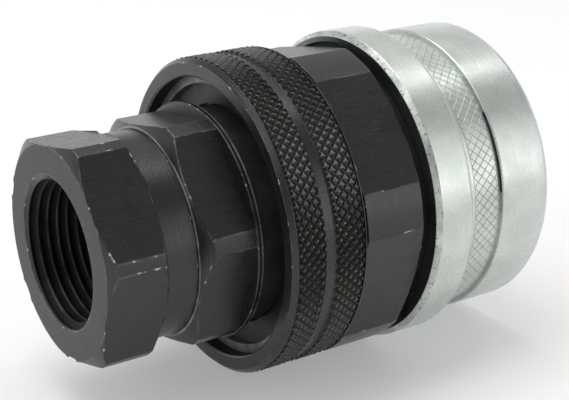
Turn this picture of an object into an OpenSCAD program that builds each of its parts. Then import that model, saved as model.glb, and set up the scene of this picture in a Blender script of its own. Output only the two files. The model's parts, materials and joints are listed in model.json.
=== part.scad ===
// Quick disconnect coupler, female half, screw-to-connect type.
// The axis of the coupler lies along +X. The origin is the centre of the port
// face, and the mating end points to +X. All sizes are in millimetres.

/* [Port adapter] */
// Bore of the pipe thread at its crests (G 3/4)
port_minor_d = 24.12; // [23:0.02:25]
// Depth of the pipe thread, crest to root
port_thread_depth = 1.16; // [0.9:0.02:1.3]
// Pitch of the pipe thread
port_pitch = 1.814; // [1.6:0.002:1.95]
// Turns of full thread in the port
port_turns = 8; // [6:1:8]
// Length of the lead-in chamfer at the port mouth
port_lead_in = 0.7; // [0.4:0.05:1.2]
// Bore of the flow passage behind the thread
flow_bore_d = 22.8; // [22.6:0.1:23.5]
// Port hexagon across flats
port_hex_af = 36.2; // [34.5:0.1:38]
// Port hexagon across its turned corners
port_hex_corner_d = 40.6; // [39:0.1:42]
// Diameter of the port's end face, inside its turned chamfer
port_face_d = 36.6; // [34:0.1:38]
// Length of the port hexagon
port_hex_len = 10.8; // [9:0.1:13]
// Diameter of the round neck behind the port hexagon
neck_d = 35.6; // [34:0.1:36]
// Length of the neck
neck_len = 5.7; // [4:0.1:9]
// Diameter of the adapter's spigot inside the valve body
spigot_d = 31.8; // [31:0.1:33]
// Length of the adapter's spigot
spigot_len = 5.4; // [5:0.1:7]

/* [Valve body] */
// Body hexagon across flats
body_hex_af = 37.2; // [36:0.1:39]
// Body hexagon across its turned corners
body_hex_corner_d = 41.4; // [40:0.1:43]
// Diameter of the body hexagon's end face, inside its turned chamfer
body_face_d = 36.2; // [35:0.1:38]
// Length of the body hexagon
body_hex_len = 9.4; // [8.6:0.1:12]
// Diameter of the thin flange behind the body hexagon
flange_d = 41.8; // [40:0.1:44]
// Width of the flange
flange_w = 1.3; // [0.8:0.1:2.5]
// Diameter of the journal inside the nut's mouth
journal_d = 38.4; // [36:0.1:40]
// Width of the collar that carries the nut
collar_w = 4; // [3:0.1:6]
// Diameter of the nose barrel
nose_d = 34; // [32:0.1:35]
// Bore of the valve chamber
chamber_d = 27; // [26:0.1:28]
// Opening of the nose, which the poppet closes
nose_open_d = 19; // [17:0.1:20]
// Length of the nose opening
nose_lip = 3.6; // [3.2:0.1:4.5]

/* [Poppet valve] */
// Travel of the poppet when the mating half pushes it open
poppet_travel = 6; // [3:0.1:8]
// Diameter of the poppet's stem
stem_d = 7; // [5:0.1:7.6]
// Diameter of the rim behind the poppet's cone
poppet_rim_d = 23.2; // [22:0.1:24]
// Width of the rim behind the poppet's cone
poppet_rim_w = 1.4; // [1:0.1:2.5]
// Thickness of the guide's plate
guide_t = 3; // [2:0.1:4]
// Length of the guide's hub in front of its plate
guide_hub_len = 10; // [6:0.1:14]
// Wall of the bush inside the guide's hub
bush_wall = 1; // [0.6:0.1:1.2]
// Wall of the guide's hub around the bush
hub_wall = 1.4; // [1:0.1:1.6]
// Number of flow holes in the guide
flow_holes = 6; // [4:1:6]
// Diameter of each flow hole
flow_hole_d = 4.6; // [3:0.1:4.8]
// Wire of the poppet spring
poppet_wire_d = 1.8; // [1.2:0.1:2.2]
// Mean diameter of the poppet spring
poppet_spring_d = 19.2; // [18.4:0.1:20]
// Curls of the poppet spring
poppet_curls = 8; // [5:1:9]

/* [Coupling nut] */
// Diameter of the nut over its knurled bands
nut_d = 56.2; // [55.6:0.1:58]
// Diameter of the mouth at the nut's rear
mouth_d = 49.7; // [48:0.1:50.5]
// Distance from the body's flange to the nut's mouth
mouth_gap = 1; // [0.5:0.1:3]
// Depth of the snap ring inside the mouth
mouth_depth = 2.7; // [1.5:0.1:4]
// Axial length of the bevelled lip at the mouth
lip_w = 0.9; // [0.5:0.1:1.5]
// Length of the rear knurled band
knurl_1_len = 5.6; // [4:0.1:9]
// Length of the plain groove between the bands
band_groove_len = 1.6; // [1:0.1:3]
// Depth of the plain groove between the bands
band_groove_depth = 0.5; // [0.2:0.1:1]
// Length of the front knurled band
knurl_2_len = 6.4; // [4:0.1:9]
// Diamonds around a knurled band
knurl_count = 100; // [60:2:120]
// Full diamonds along a knurled band
knurl_rows = 3; // [2:1:4]
// Depth of the knurl's grooves
knurl_depth = 0.45; // [0.2:0.05:0.5]
// Nut hexagon across flats
nut_hex_af = 52.1; // [51.2:0.1:54]
// Length of the nut hexagon, to its end face
nut_hex_len = 12.7; // [10:0.1:16]
// Diameter of the nut hexagon's end face, inside its turned chamfer
nut_face_d = 52; // [51:0.1:53]
// Wall between the mouth and the threaded cavity
nut_web_w = 5.2; // [4.4:0.1:7]
// Bore of the threaded cavity behind its undercut
cavity_d = 40.8; // [39:0.1:42]
// Bore of the mating thread at its crests (M42 x 2)
mate_minor_d = 39.84; // [38.5:0.02:40.4]
// Depth of the mating thread
mate_thread_depth = 1.08; // [0.8:0.02:1.2]
// Pitch of the mating thread
mate_pitch = 2; // [1.5:0.05:2.2]
// Turns of full mating thread
mate_turns = 7; // [5:1:7]
// Wall of the nut's front spigot outside the mating thread
front_wall = 1.6; // [1.4:0.05:1.9]
// Distance from the body's nose to the first turn of the mating thread
nose_setback = 1.5; // [0.8:0.1:4]
// Thickness of the two thrust washers
washer_t = 1.2; // [0.8:0.1:2]
// Thickness of the snap ring
snap_t = 1.3; // [1:0.1:1.8]
// Radial width of the snap ring
snap_w = 2.7; // [2:0.1:3.2]
// Depth of the snap ring's groove
snap_groove_depth = 1.25; // [0.8:0.05:1.6]

/* [Locking sleeve] */
// Travel of the sleeve when it is pulled back
sleeve_travel = 2; // [1:0.1:2]
// Gap between the nut's hexagon and the sleeve
sleeve_gap = 1.7; // [1.6:0.1:3]
// Diameter of the sleeve's rear flange
sleeve_flange_d = 57.2; // [56.6:0.1:59]
// Length of the sleeve's rear flange
sleeve_flange_len = 7.4; // [7:0.1:9]
// Axial length of the slope from the flange down to the knurl
sleeve_slope_len = 2; // [1:0.1:3]
// Diameter of the finely knurled band
sleeve_knurl_d = 51.9; // [51.4:0.1:53]
// Length of the finely knurled band
sleeve_knurl_len = 6.5; // [5:0.1:9]
// Diameter of the plain front band
sleeve_front_d = 53.5; // [53:0.1:55]
// Length of the plain front band
sleeve_front_len = 11.2; // [10:0.1:14]
// Radius of the rounded front edge
sleeve_edge_r = 1.6; // [0.5:0.1:1.8]
// Chamfer of the rear edge
sleeve_chamfer = 0.8; // [0.3:0.1:1.2]
// Distance of the nut's front end behind the sleeve's front end
nut_recess = 1.6; // [1:0.1:2.5]
// Wire of the sleeve spring
sleeve_wire_d = 1.2; // [0.9:0.05:1.3]
// Length of the sleeve spring as fitted
sleeve_spring_len = 11; // [9:0.1:12]
// Curls of the sleeve spring
sleeve_curls = 4; // [3:1:4]
// Wire of the stop ring in front of the sleeve
stop_wire_d = 1.4; // [1.2:0.1:1.6]
// Diameter of the key pins
key_pin_d = 3; // [2:0.1:3.4]
// Number of key pins
key_pins = 2; // [2:1:4]

/* [Seals] */
// Section of the adapter's O-ring
adapter_ring_d = 1.9; // [1.5:0.05:2.2]
// Section of the poppet's O-ring
poppet_ring_d = 1.6; // [1.2:0.05:1.8]
// Section of the O-ring on the nose
nose_ring_d = 2.2; // [1.6:0.05:2.4]
// Section of the dust seal in the nut
dust_ring_d = 2.2; // [1.6:0.05:2.4]
// Width of the backup rings
backup_w = 1.2; // [0.8:0.1:1.4]

/* [Hidden] */
$fn = 96;

// Radial clearance of pieces that slide on each other
run_fit = 0.06;
// Clearance of pieces that are assembled and stay
seat_fit = 0.05;
// Radial clearance between the rear thrust washer and the journal
washer_clear = 0.35;
// Radial clearance between the nut's web and the nose
web_clear = 0.4;
// Axial play of a piece that turns or slides against a face
axial_play = 0.1;
// Gap between a running seal and its wall
seal_gap = 0.08;
// Axial room left at the end of the sleeve's travel
stop_clear = 0.3;
// Axial gap between the poppet's cone and its seat
cone_gap = 0.35;
// Axial room of a ring in its groove
groove_room = 0.2;
// Overlap of joined blanks and of cutting tools
overlap = 0.5;

// Angles of the hexagon corners around the axis, from -Y towards +Z
hex_corner_angle = 10.8;
nut_corner_angle = 12;
// Angle of the first key pin around the axis, from -Y towards +Z
key_angle = 115;
// Angle of the turned chamfers on the hexagons, from their end faces
hex_chamfer_angle = 30;
// Small bevel on sharp turned edges
edge_bevel = 0.3;
// Bevel of the nose's front edge
nose_bevel = 0.9;
// Plain margin at both ends of a knurled band
knurl_margin = 0.2;
// Solid steel between the knurl's grooves and the ring that carries it
knurl_root = 0.2;
// Width and drop of the plain rim in front of the front knurled band
rim_w = 0.4;
rim_drop = 0.15;

// Shape of the thread profile, as shares of the pitch
thread_crest = 0.2;
thread_root = 0.16;

// Radii that follow from the sizes above
port_minor_r = port_minor_d / 2;
port_major_r = port_minor_r + port_thread_depth;
body_bore_r = spigot_d / 2 + seat_fit;
mate_minor_r = mate_minor_d / 2;
mate_major_r = mate_minor_r + mate_thread_depth;
nut_spigot_r = max(mate_major_r, cavity_d / 2) + front_wall;
spring_room = 0.3;
nut_land_r = nut_spigot_r + sleeve_wire_d + 2 * spring_room;
sleeve_bore_r = nut_land_r + run_fit;
sleeve_guide_r = nut_spigot_r + run_fit;
stop_groove_depth = 0.6;
stop_ring_r = nut_spigot_r - stop_groove_depth + seat_fit + stop_wire_d / 2;
stop_room = 1.2;
sleeve_counterbore_r = stop_ring_r + stop_wire_d / 2 + stop_room;
nut_r = nut_d / 2;
knurl_core_r = nut_r - knurl_depth - knurl_root;
nut_wall = 1.2;
mouth_r = min(mouth_d / 2, nut_r - snap_groove_depth - nut_wall);
collar_r = mouth_r - run_fit;
sleeve_flange_r = sleeve_flange_d / 2;
skirt_wall = 0.4;
skirt_overlap = max(sleeve_travel - sleeve_gap, 0);
skirt_clear = 0.25;
skirt_room = skirt_overlap / tan(hex_chamfer_angle) + skirt_clear;
skirt_limit_r = sleeve_flange_r - sleeve_chamfer - skirt_wall;
nut_face_r = min(nut_face_d / 2, nut_r - edge_bevel, skirt_limit_r - skirt_room);
skirt_bore_r = nut_face_r + skirt_room;
sleeve_wall = 1.2;
sleeve_knurl_r = max(sleeve_knurl_d / 2, sleeve_bore_r + sleeve_wall);
band_step = 0.4;
sleeve_front_r = max(sleeve_front_d / 2, sleeve_knurl_r + band_step);
key_depth = 2.2;
key_height = 1.5;
key_foot_r = nut_land_r - key_depth;
key_top_r = nut_land_r + key_height;
key_slot_r = key_top_r + 2 * axial_play;
web_bore_r = nose_d / 2 + web_clear;
stem_bore_r = stem_d / 2 + run_fit;
shoulder_step = 1.5;
shoulder_r = stem_d / 2 + shoulder_step;
bush_r = stem_bore_r + bush_wall;
hub_r = bush_r + seat_fit + hub_wall;
flow_hole_land = 0.6;
flow_hole_pcr = hub_r + flow_hole_land + flow_hole_d / 2;
poppet_land_r = nose_open_d / 2 - seal_gap;

// Stations along the axis, from the port face to the mating end
x_neck = port_hex_len;
x_body = x_neck + neck_len;
x_guide = x_body + spigot_len;
x_chamber = x_guide + guide_t;
x_flange = x_body + body_hex_len;
x_journal = x_flange + flange_w;
x_mouth = x_journal + mouth_gap;
x_snap = x_mouth + mouth_depth;
x_rear_washer = x_snap + snap_t;
x_collar = x_rear_washer + washer_t + axial_play;
x_front_washer = x_collar + collar_w + axial_play;
x_web = x_front_washer + washer_t;
x_cavity = x_web + nut_web_w;
x_knurl_1 = x_mouth + lip_w;
x_band = x_knurl_1 + knurl_1_len;
x_knurl_2 = x_band + band_groove_len;
x_nut_hex = x_knurl_2 + knurl_2_len;
x_nut_rim = x_nut_hex - rim_w;
x_nut_face = x_nut_hex + nut_hex_len;
x_sleeve = x_nut_face + sleeve_gap;
x_sleeve_land = x_sleeve + skirt_overlap + stop_clear;
x_slope = x_sleeve + sleeve_flange_len;
x_sleeve_knurl = x_slope + sleeve_slope_len;
x_sleeve_front = x_sleeve_knurl + sleeve_knurl_len;
x_sleeve_end = x_sleeve_front + sleeve_front_len;
x_nut_end = x_sleeve_end - nut_recess;
mate_lead_in = 1.2;
x_mate_1 = x_nut_end - mate_lead_in;
x_mate_0 = x_mate_1 - mate_turns * mate_pitch;
undercut_w = 2.4;
x_undercut = x_mate_0 - undercut_w;
x_nose = x_mate_0 - nose_setback;
x_seat = x_nose - nose_lip;
spring_seat_len = 7.1;
x_spring_0 = x_nut_face + spring_seat_len;
x_spring_1 = x_spring_0 + sleeve_spring_len;
stop_setback = 3.3;
x_stop = x_nut_end - stop_setback;
x_counterbore = x_stop - stop_wire_d / 2 - axial_play;
key_setback = 4.6;
x_key = x_nut_face + key_setback;
x_poppet_face = x_nose - axial_play;
x_cone = x_seat - cone_gap;
x_rim = x_cone - (poppet_rim_d / 2 - poppet_land_r);
x_poppet_back = x_rim - poppet_rim_w;
stem_tail = 1;
x_stem = x_guide - stem_tail;
x_hub = x_chamber + guide_hub_len;
x_shoulder = x_hub + poppet_travel + axial_play;

// Grooves of the seals: their first station, width and floor
adapter_groove_w = adapter_ring_d + backup_w + groove_room;
spigot_end_land = 0.8;
x_adapter_groove = x_guide - spigot_end_land - adapter_groove_w;
adapter_ring_r = body_bore_r - seat_fit - adapter_ring_d / 2;
adapter_groove_r = adapter_ring_r - adapter_ring_d / 2 - seat_fit;
nose_groove_w = nose_ring_d + backup_w + groove_room;
nose_groove_setback = 3;
x_nose_groove = x_nose - nose_groove_setback - nose_groove_w;
nose_squeeze = 0.12;
nose_ring_r = nose_d / 2 + nose_squeeze - nose_ring_d / 2;
nose_groove_r = nose_ring_r - nose_ring_d / 2 - seat_fit;
dust_groove_w = dust_ring_d + groove_room;
x_dust_groove = x_web + (nut_web_w - dust_groove_w) / 2;
dust_ring_r = nose_d / 2 + seal_gap + dust_ring_d / 2;
dust_groove_r = dust_ring_r + dust_ring_d / 2 + seat_fit;
poppet_groove_w = poppet_ring_d + groove_room;
poppet_face_land = 1;
x_poppet_groove = x_poppet_face - poppet_face_land - poppet_groove_w;
poppet_ring_r = nose_open_d / 2 - seat_fit - poppet_ring_d / 2;
poppet_groove_r = poppet_ring_r - poppet_ring_d / 2 - seat_fit;

// Centre line of a spring between two seats. The corners of the centre line lie as far
// outside the mean radius as the middles of its chords lie inside.
steps_per_curl = 24;
function helix(x0, x1, mean_r, curls, wire) =
    let (
        steps = curls * steps_per_curl,
        turn = 360 / steps_per_curl,
        corner_r = mean_r * 2 / (1 + cos(turn / 2)),
        start = x0 + wire / 2 + seat_fit,
        run = x1 - x0 - wire - 2 * seat_fit)
    [for (i = [0 : steps]) [corner_r * cos(turn * i), corner_r * sin(turn * i), start + run * i / steps]];

// Least gap between neighbouring curls, measured on the points of the centre line
function self_gap(points, wire) =
    min([for (i = [steps_per_curl : len(points) - 1]) norm(points[i] - points[i - steps_per_curl])]) - wire;

poppet_path = helix(x_chamber, x_poppet_back, poppet_spring_d / 2, poppet_curls, poppet_wire_d);
sleeve_spring_r = nut_spigot_r + spring_room + sleeve_wire_d / 2;
sleeve_path = helix(x_spring_0, x_spring_1, sleeve_spring_r, sleeve_curls, sleeve_wire_d);
echo(poppet_spring_self_gap = self_gap(poppet_path, poppet_wire_d));
echo(sleeve_spring_self_gap = self_gap(sleeve_path, sleeve_wire_d));

// Half section of an internal thread: rings at the crest radius with V grooves between them
function thread_section(x0, turns, pitch, minor_r, major_r) =
    let (
        crest = thread_crest * pitch,
        root = thread_root * pitch,
        flank = (pitch - crest - root) / 2,
        turn = [[minor_r, 0], [minor_r, crest], [major_r, crest + flank], [major_r, crest + flank + root]])
    [for (i = [0 : turns - 1], p = turn) [p[0], x0 + i * pitch + p[1]]];

// Axial length of a turned chamfer between two radii
function chamfer_len(outer_r, inner_r) = (outer_r - inner_r) * tan(hex_chamfer_angle);

// Lays a piece that is drawn along Z along the coupler's axis
module along_axis() {
    rotate([0, 90, 0])
        children();
}

// A turned piece, from its half section as [radius, station] points
module turned(section) {
    along_axis()
        rotate_extrude()
            polygon(section);
}

// A plain ring with a rectangular section
module ring(inner_r, outer_r, x0, x1) {
    turned([[inner_r, x0], [outer_r, x0], [outer_r, x1], [inner_r, x1]]);
}

// A ring with a round section
module round_ring(mean_r, section_d, x) {
    along_axis()
        rotate_extrude()
            translate([mean_r, x])
                circle(d = section_d);
}

// A hexagonal bar with a corner at the given angle around the axis
module hex_bar(af, x0, x1, corner_angle) {
    along_axis()
        translate([0, 0, x0])
            rotate(-90 - corner_angle)
                cylinder(d = af / cos(30), h = x1 - x0, $fn = 6);
}

// Copies of a radial piece, which is drawn along the local X, spaced around the axis
// from an angle that is counted from -Y towards +Z
module around_axis(count, first_angle) {
    along_axis()
        for (i = [0 : count - 1])
            rotate(-90 - first_angle + 360 * i / count)
                children();
}

// A tube of six sides along the centre line of a spring
module wound_tube(points, wire) {
    sides = 6;
    rings = len(points);
    last = (rings - 1) * sides;
    corners = [for (c = points, j = [0 : sides - 1])
        let (out = [c[0], c[1], 0] / norm([c[0], c[1]]), a = 360 * j / sides)
        c + wire / 2 * (cos(a) * out + [0, 0, sin(a)])];
    walls = [for (i = [0 : rings - 2], j = [0 : sides - 1], half = [0, 1])
        let (a = i * sides + j, b = i * sides + (j + 1) % sides)
        half == 0 ? [a, b, b + sides] : [a, b + sides, a + sides]];
    caps = [for (j = [1 : sides - 2], end = [0, 1])
        end == 0 ? [0, j + 1, j] : [last, last + j, last + j + 1]];
    along_axis()
        polyhedron(points = corners, faces = concat(walls, caps));
}

// A knurled band: a ring of pyramids between two crossing sets of grooves. Groove crossings lie on
// the stations and halfway between them, and every pyramid's tip is midway between four crossings.
module knurl_band(x0, x1) {
    n = knurl_count;
    m = knurl_rows;
    root_r = nut_r - knurl_depth;
    foot_r = knurl_core_r - overlap;
    function at(j, i, r) = [r * cos(180 * i / n), r * sin(180 * i / n), x0 + (x1 - x0) * j / m];
    function ring_of(j, i0, r) = [for (i = [0 : n - 1]) at(j, 2 * i + i0, r)];
    points = concat(
        [for (j = [0 : m], p = ring_of(j, 0, root_r)) p],
        [for (j = [0 : m - 1], p = ring_of(j + 0.5, 1, root_r)) p],
        [for (j = [0 : m - 1], p = ring_of(j + 0.5, 0, nut_r)) p],
        [for (j = [0 : m], p = ring_of(j, 1, nut_r)) p],
        ring_of(0, 0, foot_r), ring_of(m, 0, foot_r));
    function cross_1(j, i) = j * n + i % n;
    function cross_2(j, i) = (m + 1 + j) * n + (i + n) % n;
    function tip_1(j, i) = (2 * m + 1 + j) * n + i % n;
    function tip_2(j, i) = (3 * m + 1 + j) * n + i % n;
    function foot(end, i) = (4 * m + 2 + end) * n + i % n;
    function pyramid(low, left, high, right, tip) =
        [[low, left, tip], [left, high, tip], [high, right, tip], [right, low, tip]];
    whole = [for (i = [0 : n - 1]) concat(
        [for (j = [0 : m - 1], f = pyramid(
            cross_1(j, i), cross_2(j, i - 1), cross_1(j + 1, i), cross_2(j, i), tip_1(j, i))) f],
        [for (j = [1 : m - 1], f = pyramid(
            cross_2(j - 1, i), cross_1(j, i), cross_2(j, i), cross_1(j, i + 1), tip_2(j, i))) f])];
    ends = [for (i = [0 : n - 1])
        let (a = cross_1(0, i), b = cross_1(0, i + 1), t = tip_2(0, i), c = cross_2(0, i),
            p = cross_1(m, i), q = cross_1(m, i + 1), u = tip_2(m, i), d = cross_2(m - 1, i),
            e = foot(0, i), f = foot(0, i + 1), g = foot(1, i), h = foot(1, i + 1))
        [[a, c, t], [c, b, t], [a, t, b], [a, b, f], [a, f, e], [d, p, u], [q, d, u], [q, u, p],
            [q, p, g], [q, g, h], [e, f, h], [e, h, g]]];
    along_axis()
        polyhedron(points = points, faces = [for (group = concat(whole, ends), face = group) face]);
}

// The threaded port and the flow passage behind it, as a cutting tool
module port_bore() {
    thread_end = port_lead_in + port_turns * port_pitch;
    turned(concat(
        [[0, -overlap], [port_major_r, -overlap], [port_major_r, 0]],
        thread_section(port_lead_in, port_turns, port_pitch, port_minor_r, port_major_r),
        [[port_minor_r, thread_end], [flow_bore_d / 2, thread_end + port_minor_r - flow_bore_d / 2],
            [flow_bore_d / 2, x_guide + overlap], [0, x_guide + overlap]]));
}

module port_adapter() {
    corner_r = port_hex_corner_d / 2;
    face_r = port_face_d / 2;
    chamfer = chamfer_len(corner_r, face_r);
    color("#2b2d2d")
        difference() {
            union() {
                intersection() {
                    hex_bar(port_hex_af, 0, x_neck, hex_corner_angle);
                    turned([[0, 0], [face_r, 0], [corner_r, chamfer],
                        [corner_r, x_neck - chamfer], [face_r, x_neck], [0, x_neck]]);
                }
                ring(0, neck_d / 2, x_neck - overlap, x_body);
                ring(0, spigot_d / 2, x_body - overlap, x_guide);
            }
            port_bore();
            ring(adapter_groove_r, body_bore_r + overlap,
                x_adapter_groove, x_adapter_groove + adapter_groove_w);
        }
}

module adapter_o_ring() {
    color("#161616")
        round_ring(adapter_ring_r, adapter_ring_d, x_adapter_groove + adapter_ring_d / 2 + groove_room / 4);
}

module adapter_backup_ring() {
    x1 = x_adapter_groove + adapter_groove_w - groove_room / 4;
    color("#e9e6dc")
        ring(adapter_groove_r + seat_fit, spigot_d / 2, x1 - backup_w, x1);
}

// The valve chamber, its seat and the bore for the adapter, as a cutting tool
module body_bore() {
    chamber_r = chamber_d / 2;
    open_r = nose_open_d / 2;
    turned([[0, x_body - overlap], [body_bore_r, x_body - overlap], [body_bore_r, x_chamber],
        [chamber_r, x_chamber], [chamber_r, x_seat - (chamber_r - open_r)], [open_r, x_seat],
        [open_r, x_nose + overlap], [0, x_nose + overlap]]);
}

module valve_body() {
    corner_r = body_hex_corner_d / 2;
    face_r = body_face_d / 2;
    core_r = body_hex_af / 2 - overlap;
    nose_r = nose_d / 2;
    color("#2b2d2d")
        difference() {
            union() {
                intersection() {
                    hex_bar(body_hex_af, x_body, x_flange, hex_corner_angle);
                    turned([[0, x_body], [face_r, x_body],
                        [corner_r, x_body + chamfer_len(corner_r, face_r)],
                        [corner_r, x_flange], [0, x_flange]]);
                }
                turned([[0, x_flange - overlap], [core_r, x_flange - overlap], [core_r, x_flange],
                    [flange_d / 2, x_flange], [flange_d / 2, x_journal], [journal_d / 2, x_journal],
                    [journal_d / 2, x_collar], [collar_r, x_collar], [collar_r, x_collar + collar_w],
                    [nose_r, x_collar + collar_w], [nose_r, x_nose - nose_bevel],
                    [nose_r - nose_bevel, x_nose], [0, x_nose]]);
            }
            body_bore();
            ring(nose_groove_r, nose_r + overlap, x_nose_groove, x_nose_groove + nose_groove_w);
        }
}

module nose_o_ring() {
    x1 = x_nose_groove + nose_groove_w - groove_room / 4;
    color("#161616")
        round_ring(nose_ring_r, nose_ring_d, x1 - nose_ring_d / 2);
}

module nose_backup_ring() {
    x0 = x_nose_groove + groove_room / 4;
    color("#e9e6dc")
        ring(nose_groove_r + seat_fit, nose_d / 2, x0, x0 + backup_w);
}

module poppet_guide() {
    color("#b08d4f")
        difference() {
            union() {
                ring(0, body_bore_r - seat_fit, x_guide, x_chamber);
                ring(0, hub_r, x_chamber - overlap, x_hub);
            }
            ring(0, bush_r + seat_fit, x_guide - overlap, x_hub + overlap);
            around_axis(flow_holes, 0)
                translate([flow_hole_pcr, 0, x_guide - overlap])
                    cylinder(d = flow_hole_d, h = guide_t + 2 * overlap);
        }
}

module guide_bush() {
    color("#7d6a45")
        ring(stem_bore_r, bush_r, x_guide, x_hub);
}

module poppet() {
    rim_r = poppet_rim_d / 2;
    stem_r = stem_d / 2;
    x_groove_end = x_poppet_groove + poppet_groove_w;
    color("#b9bcbc")
        turned([[0, x_stem], [stem_r - edge_bevel, x_stem], [stem_r, x_stem + edge_bevel],
            [stem_r, x_shoulder], [shoulder_r, x_shoulder], [shoulder_r, x_poppet_back],
            [rim_r, x_poppet_back], [rim_r, x_rim], [poppet_land_r, x_cone],
            [poppet_land_r, x_poppet_groove], [poppet_groove_r, x_poppet_groove],
            [poppet_groove_r, x_groove_end], [poppet_land_r, x_groove_end],
            [poppet_land_r, x_poppet_face - edge_bevel], [poppet_land_r - edge_bevel, x_poppet_face],
            [0, x_poppet_face]]);
}

module poppet_o_ring() {
    color("#161616")
        round_ring(poppet_ring_r, poppet_ring_d, x_poppet_groove + poppet_groove_w / 2);
}

module poppet_spring() {
    color("#8b8f92")
        wound_tube(poppet_path, poppet_wire_d);
}

// The rear mouth, the web's bore, the cavity and the mating thread, as a cutting tool
module nut_bore() {
    undercut_r = max(mate_major_r, cavity_d / 2) + edge_bevel;
    turned(concat(
        [[0, x_mouth - overlap], [mouth_r + edge_bevel, x_mouth - overlap], [mouth_r + edge_bevel, x_mouth],
            [mouth_r, x_mouth + edge_bevel], [mouth_r, x_web], [web_bore_r, x_web], [web_bore_r, x_cavity],
            [cavity_d / 2, x_cavity], [cavity_d / 2, x_undercut], [undercut_r, x_undercut],
            [undercut_r, x_mate_0]],
        thread_section(x_mate_0, mate_turns, mate_pitch, mate_minor_r, mate_major_r),
        [[mate_minor_r, x_mate_1], [mate_major_r, x_nut_end], [mate_major_r, x_nut_end + overlap],
            [0, x_nut_end + overlap]]));
}

// Radial cylinders at the places of the key pins
module key_row(pin_d, inner_r, outer_r) {
    around_axis(key_pins, key_angle)
        translate([inner_r, 0, x_key])
            rotate([0, 90, 0])
                cylinder(d = pin_d, h = outer_r - inner_r);
}

module coupling_nut() {
    band_r = nut_r - band_groove_depth;
    lip_r = nut_r - lip_w;
    rim_r = nut_r - rim_drop;
    core_r = nut_hex_af / 2 - overlap;
    color("#2b2d2d") {
        difference() {
            union() {
                turned([[0, x_mouth], [lip_r, x_mouth], [rim_r, x_knurl_1], [knurl_core_r, x_knurl_1],
                    [knurl_core_r, x_band], [band_r, x_band], [band_r, x_knurl_2],
                    [knurl_core_r, x_knurl_2], [knurl_core_r, x_nut_rim], [rim_r, x_nut_rim],
                    [rim_r, x_nut_hex], [core_r, x_nut_hex], [core_r, x_nut_hex + overlap],
                    [0, x_nut_hex + overlap]]);
                intersection() {
                    hex_bar(nut_hex_af, x_nut_hex, x_nut_face, nut_corner_angle);
                    turned([[0, x_nut_hex], [nut_r, x_nut_hex],
                        [nut_r, x_nut_face - chamfer_len(nut_r, nut_face_r)],
                        [nut_face_r, x_nut_face], [0, x_nut_face]]);
                }
                turned([[0, x_nut_face - overlap], [nut_land_r, x_nut_face - overlap],
                    [nut_land_r, x_spring_0], [nut_spigot_r, x_spring_0],
                    [nut_spigot_r, x_nut_end - edge_bevel], [nut_spigot_r - edge_bevel, x_nut_end],
                    [0, x_nut_end]]);
            }
            nut_bore();
            ring(0, mouth_r + snap_groove_depth, x_snap - groove_room / 2, x_snap + snap_t);
            ring(0, dust_groove_r, x_dust_groove, x_dust_groove + dust_groove_w);
            ring(nut_spigot_r - stop_groove_depth, nut_spigot_r + overlap,
                x_stop - stop_wire_d / 2 - seat_fit, x_stop + stop_wire_d / 2 + seat_fit);
            key_row(key_pin_d, key_foot_r, nut_land_r + overlap);
        }
        knurl_band(x_knurl_1 + knurl_margin, x_band - knurl_margin);
        knurl_band(x_knurl_2 + knurl_margin, x_nut_rim - knurl_margin);
    }
}

// An open internal ring with two eyes beside its gap
module nut_snap_ring() {
    outer_r = mouth_r + snap_groove_depth - seat_fit;
    inner_r = outer_r - snap_w;
    gap_angle = 24;
    eye_r = 1.7;
    eye_hole_r = 0.75;
    eye_angle = 17;
    eye_pcr = inner_r + eye_r / 2;
    color("#4a4d4f")
        along_axis()
            translate([0, 0, x_snap])
                linear_extrude(snap_t)
                    difference() {
                        circle(outer_r);
                        difference() {
                            circle(inner_r);
                            for (side = [-1, 1])
                                rotate(90 + side * eye_angle)
                                    translate([eye_pcr, 0])
                                        circle(eye_r);
                        }
                        polygon([[0, 0], [-outer_r * tan(gap_angle / 2), outer_r + overlap],
                            [outer_r * tan(gap_angle / 2), outer_r + overlap]]);
                        for (side = [-1, 1])
                            rotate(90 + side * eye_angle)
                                translate([eye_pcr, 0])
                                    circle(eye_hole_r);
                    }
}

module rear_thrust_washer() {
    color("#3a3c3e")
        ring(journal_d / 2 + washer_clear, mouth_r - seat_fit, x_rear_washer, x_rear_washer + washer_t);
}

module front_thrust_washer() {
    color("#3a3c3e")
        ring(web_bore_r, mouth_r - seat_fit, x_front_washer, x_web);
}

module nut_dust_seal() {
    color("#161616")
        round_ring(dust_ring_r, dust_ring_d, x_dust_groove + dust_groove_w / 2);
}

module sleeve_key_pins() {
    color("#9a9d9f")
        key_row(key_pin_d - 2 * seat_fit, key_foot_r + seat_fit, key_top_r);
}

module sleeve_spring() {
    color("#8b8f92")
        wound_tube(sleeve_path, sleeve_wire_d);
}

module sleeve_stop_ring() {
    color("#6d7173")
        round_ring(stop_ring_r, stop_wire_d, x_stop);
}

// Half section of the sleeve: outside from the rear, then the stepped bore back
module sleeve_section() {
    difference() {
        polygon([[skirt_bore_r, x_sleeve], [sleeve_flange_r - sleeve_chamfer, x_sleeve],
            [sleeve_flange_r, x_sleeve + sleeve_chamfer], [sleeve_flange_r, x_slope],
            [sleeve_knurl_r, x_sleeve_knurl], [sleeve_knurl_r, x_sleeve_front],
            [sleeve_front_r, x_sleeve_front], [sleeve_front_r, x_sleeve_end],
            [sleeve_counterbore_r, x_sleeve_end], [sleeve_counterbore_r, x_counterbore],
            [sleeve_guide_r, x_counterbore], [sleeve_guide_r, x_spring_1], [sleeve_bore_r, x_spring_1],
            [sleeve_bore_r, x_sleeve_land], [skirt_bore_r, x_sleeve_land]]);
        translate([sleeve_front_r - sleeve_edge_r, x_sleeve_end - sleeve_edge_r])
            difference() {
                square(2 * sleeve_edge_r);
                circle(sleeve_edge_r);
            }
    }
}

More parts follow.
